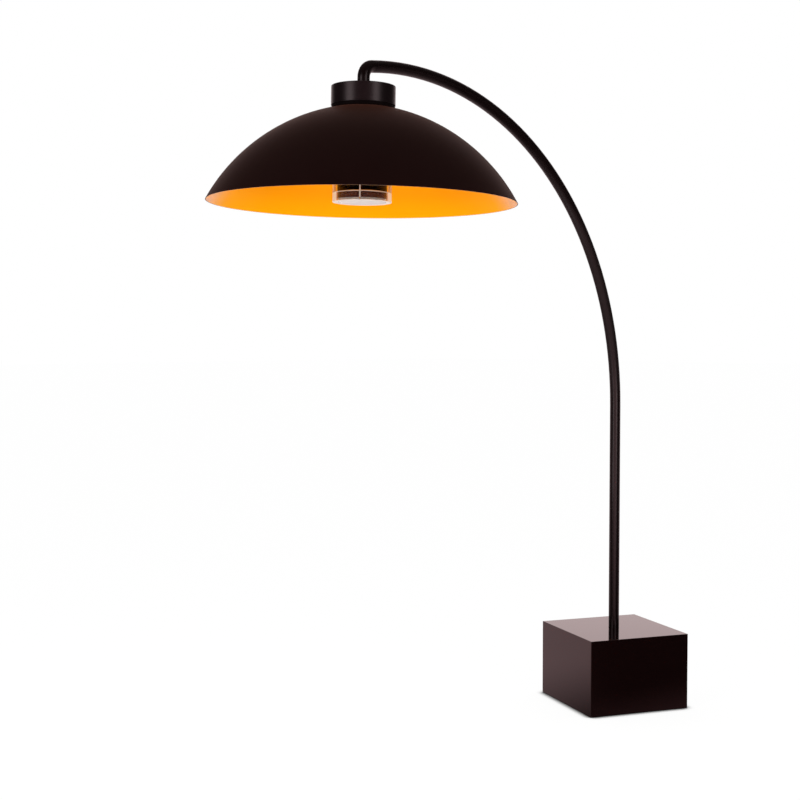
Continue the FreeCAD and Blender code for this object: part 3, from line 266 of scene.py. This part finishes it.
lacquer.feed(Roughness=0.04 + smear * 0.04 + dust * 0.02 + rubbed * 0.15)
lacquer.relief(orange_peel, strength=0.02, depth=0.0004)
lacquer.dress("base_cover")

# Mast and arm: steel tube, bent cold, in fine satin powder coat of the same brown-black.
# The two lengths meet over a sleeve inside, held by set screws at the back.
# The coat is more matt where the arm begins to bend.
MATT_BEGINS = (1.1, 1.4)
MATT_ENDS = (1.6, 1.95)
MATT_ADDS = 0.3
RING_RADIANS = 2600.0
RING_WANDER = 9.0


def from_axis(finish, axis):
    """Distance of a point from an upright axis: the length of its x and y less the axis's."""
    flat = {0: finish.place(), 1: (1.0, 1.0, 0.0), 2: (-axis[0], -axis[1], 0.0)}
    shifted = finish.node("ShaderNodeVectorMath", {"operation": "MULTIPLY_ADD"}, flat)
    return finish.node("ShaderNodeVectorMath", {"operation": "LENGTH"}, {0: shifted}, "Value")


def spun_rings(finish, axis):
    """Rings left by spinning: a sine of the distance from an upright axis, broken up by noise."""
    phase = from_axis(finish, axis) * RING_RADIANS + finish.noise(waves=5.0) * RING_WANDER
    wave = finish.node("ShaderNodeMath", {"operation": "SINE"}, {0: phase})
    return wave * 0.5 + 0.5


def powder_coat(name, gloss, rough, dark, pale, rings_about=None, matt_bend=False, **constants):
    """Satin powder coat: slow clouds in colour and gloss, and a bump of fine specks.
    Spun pieces add faint rings about an axis, and a bent tube a matt band between two heights."""
    shine = {"IOR": 1.5, "Specular_IOR_Level": gloss, "Specular_Tint": (1.0, 0.8, 0.82, 1.0)}
    finish = Finish(name, **shine, **constants)
    speck = finish.noise(waves=1800.0, detail=2.0)
    cloud = finish.noise(waves=9.0, detail=4.0)
    roughness = rough + cloud * 0.08 + speck * 0.06
    if matt_bend:
        height = finish.node("ShaderNodeSeparateXYZ", None, {"Vector": finish.place()}, "Z")
        band = finish.smooth(height, *MATT_BEGINS) * (1.0 - finish.smooth(height, *MATT_ENDS))
        roughness = roughness + band * MATT_ADDS
    bump = speck
    if rings_about:
        bump = speck * 0.7 + spun_rings(finish, rings_about) * 0.3
    finish.feed(Base_Color=finish.between(cloud, dark, pale), Roughness=roughness)
    return finish.relief(bump, strength=0.12, depth=0.0003)


tube_coat = powder_coat(
    "tube_coat",
    gloss=0.25,
    rough=0.2,
    dark=(0.0035, 0.0012, 0.0012),
    pale=(0.0055, 0.002, 0.002),
    matt_bend=True,
)
tube_coat.dress("mast_tube", "arc_tube")
black_screw = steel("black_screw", tint=(0.09, 0.085, 0.08), rough=(0.35, 0.5))
black_screw.dress("joint_screws")

# Collar: a turned aluminium cap in the same satin coat, over the hub and the wiring.
# It sits on the shoulder of a matt black neck ring.
# Screws come up into its posts from the plate below.
collar_coat = powder_coat(
    "collar_coat",
    gloss=0.3,
    rough=0.26,
    dark=(0.004, 0.0014, 0.0018),
    pale=(0.006, 0.0022, 0.0027),
)
collar_coat.dress("head_cap")
neck_coat = powder_coat(
    "neck_coat",
    gloss=0.05,
    rough=0.6,
    dark=(0.003, 0.0015, 0.0015),
    pale=(0.0045, 0.002, 0.002),
)
neck_coat.dress("neck_ring")
terminal = grained(
    "white_nylon",
    waves=300.0,
    dark=(0.6, 0.6, 0.57),
    pale=(0.72, 0.72, 0.7),
    rough=(0.4, 0.6),
    bump=(0.15, 0.0004),
)
terminal.dress("terminal_block")

# Dome: aluminium disc spun over a former, satin brown-black outside with a faint warm sheen.
# The spinning rings are just felt through the coat.
RIM_CENTRE = (-1.2845, 0.0)
dome_coat = powder_coat(
    "dome_coat",
    gloss=0.035,
    rough=0.46,
    dark=(0.0105, 0.0034, 0.003),
    pale=(0.0135, 0.0044, 0.0039),
    rings_about=RIM_CENTRE,
    Sheen_Weight=0.08,
    Sheen_Roughness=0.36,
    Sheen_Tint=(1.0, 0.36, 0.22, 1.0),
)
dome_coat.dress("dome_shell")

# Insulation: a disc of pressed ceramic fibre, clamped between dome and lining.
# It is soft, matt and off-white.
fibre = grained(
    "ceramic_fibre",
    waves=600.0,
    dark=(0.55, 0.53, 0.48),
    pale=(0.78, 0.76, 0.7),
    rough=(0.88, 0.98),
    bump=(0.5, 0.0012),
    detail=5.0,
    Sheen_Weight=0.2,
)
fibre.dress("insulation_disc")

# Lining: a second spun bowl that throws the heat down, in deep orange-gold lacquer.
# The lacquer is satin over fine spinning rings, and its colour turns yellower towards the rim.
# A clear coat over it shows at glancing angles.
GOLD_DEEP = (0.97, 0.31, 0.0)
GOLD_AT_RIM = (1.0, 0.43, 0.0)
YELLOWER_FROM_TO = (0.42, 0.484)
COAT_SHOWS = (0.52, 0.8)
gold = Finish(
    "gold_lining",
    Specular_IOR_Level=0.15,
    Specular_Tint=(1.0, 0.45, 0.02, 1.0),
    Coat_IOR=2.4,
    Coat_Roughness=0.15,
)
rings = spun_rings(gold, RIM_CENTRE)
cloud = gold.noise(waves=6.0)
# The colour turns yellower over the last few centimetres out to the rim.
towards_rim = gold.smooth(from_axis(gold, RIM_CENTRE), *YELLOWER_FROM_TO)
shade = cloud * 0.2 + rings * 0.15 + towards_rim * 0.65
glance = gold.node("ShaderNodeLayerWeight", output="Facing")
gold.feed(Base_Color=gold.between(shade, GOLD_DEEP, GOLD_AT_RIM))
gold.feed(Roughness=0.36 + cloud * 0.1)
gold.feed(Coat_Weight=gold.smooth(glance, *COAT_SHOWS))
gold.relief(rings, strength=0.06, depth=0.0003)
gold.dress("reflector")

# Heater housing, heat shield and core tube: sheet steel that has been hot, straw to grey.
# The housing is a vented can, spot welded at its ledge.
scorched = grained(
    "scorched_steel",
    waves=14.0,
    dark=(0.18, 0.15, 0.13),
    pale=(0.5, 0.42, 0.33),
    rough=(0.3, 0.5),
    bump=(0.08, 0.0002),
    fine=900.0,
    detail=4.0,
    Metallic=1.0,
)
scorched.dress("heater_housing", "heat_shield", "core_tube")

# Ring lamps: amber quartz tube bent to a ring, in white steatite end caps on steatite spiders.
# The ceramic is pressed, unglazed and slightly speckled.
quartz = grained(
    "amber_quartz",
    waves=40.0,
    dark=(0.8, 0.3, 0.06),
    pale=(0.95, 0.5, 0.16),
    rough=(0.12, 0.22),
    IOR=1.46,
    Transmission_Weight=0.5,
)
quartz.dress("lower_heating_ring", "upper_heating_ring")
steatite = grained(
    "steatite",
    waves=500.0,
    dark=(0.6, 0.57, 0.5),
    pale=(0.8, 0.78, 0.72),
    rough=(0.55, 0.7),
    bump=(0.2, 0.0004),
    detail=4.0,
)
steatite.dress("lower_spider", "upper_spider", "ring_caps")

# Light: a black cast pod with a polished trim ring, under the ring lamps.
# Its cover and bezel are white enamelled and hold a dark board with pale chips.
# It shines down through the lens.
pod_coat = grained(
    "pod_coat",
    waves=800.0,
    dark=(0.003, 0.0006, 0.0009),
    pale=(0.005, 0.001, 0.0015),
    rough=(0.5, 0.65),
    bump=(0.2, 0.0004),
    Specular_IOR_Level=0.02,
)
pod_coat.dress("lamp_pod")
enamel = grained(
    "rod_enamel",
    waves=600.0,
    dark=(0.8, 0.78, 0.76),
    pale=(0.88, 0.87, 0.86),
    rough=(0.25, 0.35),
    bump=(0.08, 0.0002),
)
enamel.dress("led_bezel", "pod_cover")
board = grained(
    "dark_board",
    waves=250.0,
    dark=(0.012, 0.013, 0.012),
    pale=(0.022, 0.023, 0.022),
    rough=(0.3, 0.4),
)
board.dress("led_board")
chips = Finish("light_chips", Emission_Strength=0.15)
dot = chips.noise(waves=600.0)
chips.feed(Base_Color=chips.between(dot, (0.9, 0.75, 0.3), (0.95, 0.85, 0.5)))
chips.feed(Emission_Color=chips.between(dot, (1.0, 0.8, 0.55), (1.0, 0.88, 0.7)))
chips.dress("led_chips")
polished = steel("polished_steel", tint=(0.8, 0.79, 0.77), rough=(0.08, 0.18))
polished.dress("pod_trim", "rod_nuts")

# Glass: a clear cylinder on a thick cast base with a frosted lens, sealed by pale silicone rings.
# Three white enamelled rods with dome nuts clamp the stack up into the housing.
# Where the glass is seen edge on, a pale shader mixed in gives a painted reflection of the bright
# backdrop and floor, and face on the cast glass carries a faint painted reddish reflection.
GLASS_IOR = 1.47
UNDERSIDE = (0.3, 0.8)
THIN_EDGE_REFLECTION = (0.62, 0.6, 0.62)


def painted_edge_reflection(finish, painted_veil, wall, underside, edge_on, least, most):
    """Mixes a pale shader into glass as a painted reflection, from the share least face on to the
    share most edge on.
    Its colour goes from the face-on painted veil to wall, or to underside on the faces that look down."""
    facing = finish.node("ShaderNodeLayerWeight", output="Facing")
    slant = finish.smooth(facing, *edge_on)
    normal = finish.node("ShaderNodeTexCoord", output="Normal")
    upward = finish.node("ShaderNodeSeparateXYZ", None, {"Vector": normal}, "Z")
    edge_reflection = finish.between(finish.smooth(-upward, *UNDERSIDE), wall, underside)
    tint = finish.between(slant, painted_veil, edge_reflection)
    pale = finish.node("ShaderNodeBsdfPrincipled", None, {"Base Color": tint, "Roughness": 0.3})
    glass = Value(finish, finish.shader.outputs[0])
    share = slant * (most - least) + least
    finish.show(finish.node("ShaderNodeMixShader", None, {0: share, 1: glass, 2: pale}))


cast_glass = grained(
    "clear_glass",
    waves=20.0,
    dark=(0.93, 0.95, 0.94),
    pale=(0.98, 0.98, 0.98),
    rough=(0.0, 0.03),
    detail=4.0,
    IOR=GLASS_IOR,
    Transmission_Weight=1.0,
    Specular_Tint=(0.15, 0.15, 0.2, 1.0),
)
painted_edge_reflection(
    cast_glass,
    painted_veil=(0.75, 0.33, 0.32),
    wall=(0.88, 1.0, 1.0),
    underside=(0.8, 0.72, 0.62),
    edge_on=(0.42, 0.56),
    least=0.04,
    most=0.92,
)
cast_glass.dress("glass_base")
thin_glass = grained(
    "thin_glass",
    waves=20.0,
    dark=(0.95, 0.96, 0.955),
    pale=(0.99, 0.99, 0.99),
    rough=(0.0, 0.02),
    detail=4.0,
    IOR=GLASS_IOR,
    Transmission_Weight=1.0,
    Specular_Tint=(0.02, 0.03, 0.05, 1.0),
)
# Painted reflection of the backdrop where the thin glass is seen edge on.
painted_edge_reflection(
    thin_glass,
    painted_veil=THIN_EDGE_REFLECTION,
    wall=THIN_EDGE_REFLECTION,
    underside=THIN_EDGE_REFLECTION,
    edge_on=(0.45, 0.85),
    least=0.0,
    most=0.65,
)
thin_glass.dress("glass_cylinder")
frosted = grained(
    "frosted_glass",
    waves=900.0,
    dark=(0.9, 0.87, 0.82),
    pale=(0.96, 0.93, 0.88),
    rough=(0.18, 0.28),
    bump=(0.1, 0.0003),
    IOR=GLASS_IOR,
    Transmission_Weight=0.4,
)
frosted.dress("lens")
enamel.dress("tie_rods")
silicone = grained(
    "pale_silicone",
    waves=400.0,
    dark=(0.5, 0.49, 0.46),
    pale=(0.6, 0.59, 0.56),
    rough=(0.5, 0.6),
)
silicone.dress("glass_gasket", "base_gasket")

# Floor: a pale paper sheet that reads as white, with a painted contact shadow where the block stands
# close to it.
# In reflections it is bright behind the object, under the left lamp and in front, else dark.
# From below it is see-through.
FLOOR_HALF = 60.0
FLOOR_POINTS = 9
FLOOR_WHITE = 1.06
FLOOR_SELF_LIT = 0.9
VIEW_HEADING = math.radians(44.01)
VIEW_AWAY = (math.sin(VIEW_HEADING), math.cos(VIEW_HEADING), 0.0)
VIEW_SIDE = (math.cos(VIEW_HEADING), -math.sin(VIEW_HEADING), 0.0)
LEFT_LAMP = (-4.7, 0.1)
CONTACT_REACH = 0.035
CONTACT_SHADE = (0.42, 1.0)
BEHIND_FROM_TO = (-0.5, 0.5)
POOL_FROM_TO = (0.4, 2.8)
FRONT_FROM_TO = (0.1, 3.2)
FRONT_SPREAD = 1.1
FLOOR_DARK = 0.02
BEHIND_LEVEL = 0.7
POOL_LEVEL = 0.8
FRONT_LEVEL = 2.2
WHITE = (1.0, 1.0, 1.0)
FLOOR_BLUSH = (1.0, 0.75, 0.77)


def sheet_mesh(name, half):
    """A flat square grid at height zero: x and y both run from minus half to half."""
    steps = np.linspace(-half, half, FLOOR_POINTS)
    x, y = np.meshgrid(steps, steps)
    points = np.stack([x.ravel(), y.ravel(), np.zeros(x.size)], axis=1)
    index = np.arange(x.size).reshape(x.shape)
    corners = (index[:-1, :-1], index[:-1, 1:], index[1:, 1:], index[1:, :-1])
    faces = np.stack([corner.ravel() for corner in corners], axis=1)
    mesh = bpy.data.meshes.new(name)
    mesh.from_pydata(points.tolist(), [], faces.tolist())
    piece = bpy.data.objects.new(name, mesh)
    bpy.context.scene.collection.objects.link(piece)
    return piece


def reach(nodes, vector, heading):
    """How far a point or direction goes along a heading: their dot product."""
    pair = {0: vector, 1: heading}
    return nodes.node("ShaderNodeVectorMath", {"operation": "DOT_PRODUCT"}, pair, "Value")


def ray_kinds(nodes):
    """Camera rays, rays that show a surface directly or through glass, and mirrored rays."""
    names = ("Is Camera Ray", "Is Transmission Ray", "Is Glossy Ray")
    direct, through, glossy = nodes.outputs("ShaderNodeLightPath", None, *names)
    seen = direct + through
    return direct, seen, glossy * (1.0 - seen)


floor = sheet_mesh("floor", FLOOR_HALF)
paper = Finish("floor_paper", Base_Color=(0.8, 0.8, 0.8, 1.0), Roughness=0.9, Specular_IOR_Level=0.0)
direct, seen, mirrored = ray_kinds(paper)
away = reach(paper, paper.place(), VIEW_AWAY)
sideways = reach(paper, paper.place(), VIEW_SIDE)
aside = paper.node("ShaderNodeMath", {"operation": "ABSOLUTE"}, {0: sideways})
lamp_pair = {0: paper.place(), 1: (*LEFT_LAMP, 0.0)}
from_lamp = paper.node("ShaderNodeVectorMath", {"operation": "DISTANCE"}, lamp_pair, "Value")
behind = paper.smooth(away, *BEHIND_FROM_TO)
pool = 1.0 - paper.smooth(from_lamp, *POOL_FROM_TO)
front = paper.smooth(-away - aside * FRONT_SPREAD, *FRONT_FROM_TO)
open_sky = paper.node("ShaderNodeAmbientOcclusion", None, {"Distance": CONTACT_REACH}, "AO")
contact = paper.smooth(open_sky, *CONTACT_SHADE)
mirror_level = FLOOR_DARK + BEHIND_LEVEL * behind + POOL_LEVEL * pool + FRONT_LEVEL * front
level = seen * contact * FLOOR_WHITE + mirrored * mirror_level
tone = paper.between(mirrored, WHITE, FLOOR_BLUSH)
glow = paper.node("ShaderNodeEmission", None, {"Color": tone, "Strength": level})
plain = Value(paper, paper.shader.outputs[0])
glow_share = seen * FLOOR_SELF_LIT + mirrored
lit = paper.node("ShaderNodeMixShader", None, {0: glow_share, 1: plain, 2: glow})
from_below = paper.node("ShaderNodeNewGeometry", output="Backfacing") * direct
see_through = paper.node("ShaderNodeBsdfTransparent")
paper.show(paper.node("ShaderNodeMixShader", None, {0: from_below, 1: lit, 2: see_through}))
floor.data.materials.append(paper.material)

# Studio: a white backdrop behind the object and a dim room on the camera's side.
# Two tall soft boxes stand left and right, and a weak one under the shade lights the lining.
# The backdrop shows white to the camera and through glass.
HEAD_AT = (-1.2, 0.0, 1.9)
UNDER_SHADE = (-1.29, 0.0, 0.7)
SHADE_AT = (-1.29, 0.0, 2.0)
ROOM_FROM_TO = (-0.3, 0.35)
BACKDROP_FROM_TO = (0.6, 0.98)
OVERHEAD_FROM_TO = (0.3, 1.0)
HORIZON_FROM_TO = (-0.06, 0.1)
AHEAD_FROM_TO = (0.8, 1.0)
ROOM_DIM = 0.05
MIRROR_DARK = 0.03
BACKDROP_LEVEL = 1.2
OVERHEAD_LEVEL = 0.15
ROOM_BLUSH = (1.0, 0.82, 0.82)


def soft_box(name, place, target, size, watts):
    """An area lamp at place that faces target."""
    data = bpy.data.lights.new(name, "AREA")
    data.shape = "RECTANGLE"
    data.size, data.size_y = size
    data.energy = watts
    lamp = bpy.data.objects.new(name, data)
    lamp.location = place
    lamp.rotation_euler = (Vector(target) - Vector(place)).to_track_quat("-Z", "Y").to_euler()
    bpy.context.scene.collection.objects.link(lamp)
    return lamp


soft_box("left_box", place=(*LEFT_LAMP, 1.9), target=HEAD_AT, size=(1.6, 2.8), watts=53.0)
soft_box("right_box", place=(-1.1, -3.5, 1.9), target=HEAD_AT, size=(1.4, 2.8), watts=44.0)
up_box = soft_box("up_box", place=UNDER_SHADE, target=SHADE_AT, size=(1.0, 1.0), watts=8.0)
up_box.visible_camera = False

world = bpy.data.worlds.new("studio")
world.use_nodes = True
bpy.context.scene.world = world
studio = Nodes(world.node_tree)
direction = studio.node("ShaderNodeTexCoord", output="Generated")
upward = studio.node("ShaderNodeSeparateXYZ", None, {"Vector": direction}, "Z")
away = reach(studio, direction, VIEW_AWAY)
_, seen, mirrored = ray_kinds(studio)
room = ROOM_DIM + (1.0 - ROOM_DIM) * studio.smooth(away, *ROOM_FROM_TO)
backdrop = studio.smooth(away, *BACKDROP_FROM_TO)
overhead = studio.smooth(upward, *OVERHEAD_FROM_TO)
low = 1.0 - studio.smooth(upward, *HORIZON_FROM_TO)
ahead = low * studio.smooth(-away, *AHEAD_FROM_TO)
mirror_level = MIRROR_DARK + BACKDROP_LEVEL * backdrop + OVERHEAD_LEVEL * overhead
mirror_level = mirror_level + FRONT_LEVEL * ahead
level = seen + mirrored * mirror_level + (1.0 - seen - mirrored) * room
tone = studio.between(mirrored, WHITE, ROOM_BLUSH)
background = studio.tree.nodes["Background"]
studio.tree.links.new(tone.socket, background.inputs["Color"])
studio.tree.links.new(level.socket, background.inputs["Strength"])

# Camera: where the photograph was taken from, looking slightly down.
# Its place, heading and focal length follow from the solved view of the block and the rim.
FILM_WIDTH = 36.0
FOCAL_LENGTH = 64.08
CAMERA_AT = (-4.291, -3.279, 1.376)
CAMERA_PITCH = math.radians(87.44)
camera_data = bpy.data.cameras.new("camera")
camera_data.sensor_width = FILM_WIDTH
camera_data.lens = FOCAL_LENGTH
camera = bpy.data.objects.new("camera", camera_data)
camera.location = CAMERA_AT
camera.rotation_euler = (CAMERA_PITCH, 0.0, -VIEW_HEADING)
bpy.context.scene.collection.objects.link(camera)
bpy.context.scene.camera = camera
bpy.context.scene.view_settings.view_transform = "Standard"
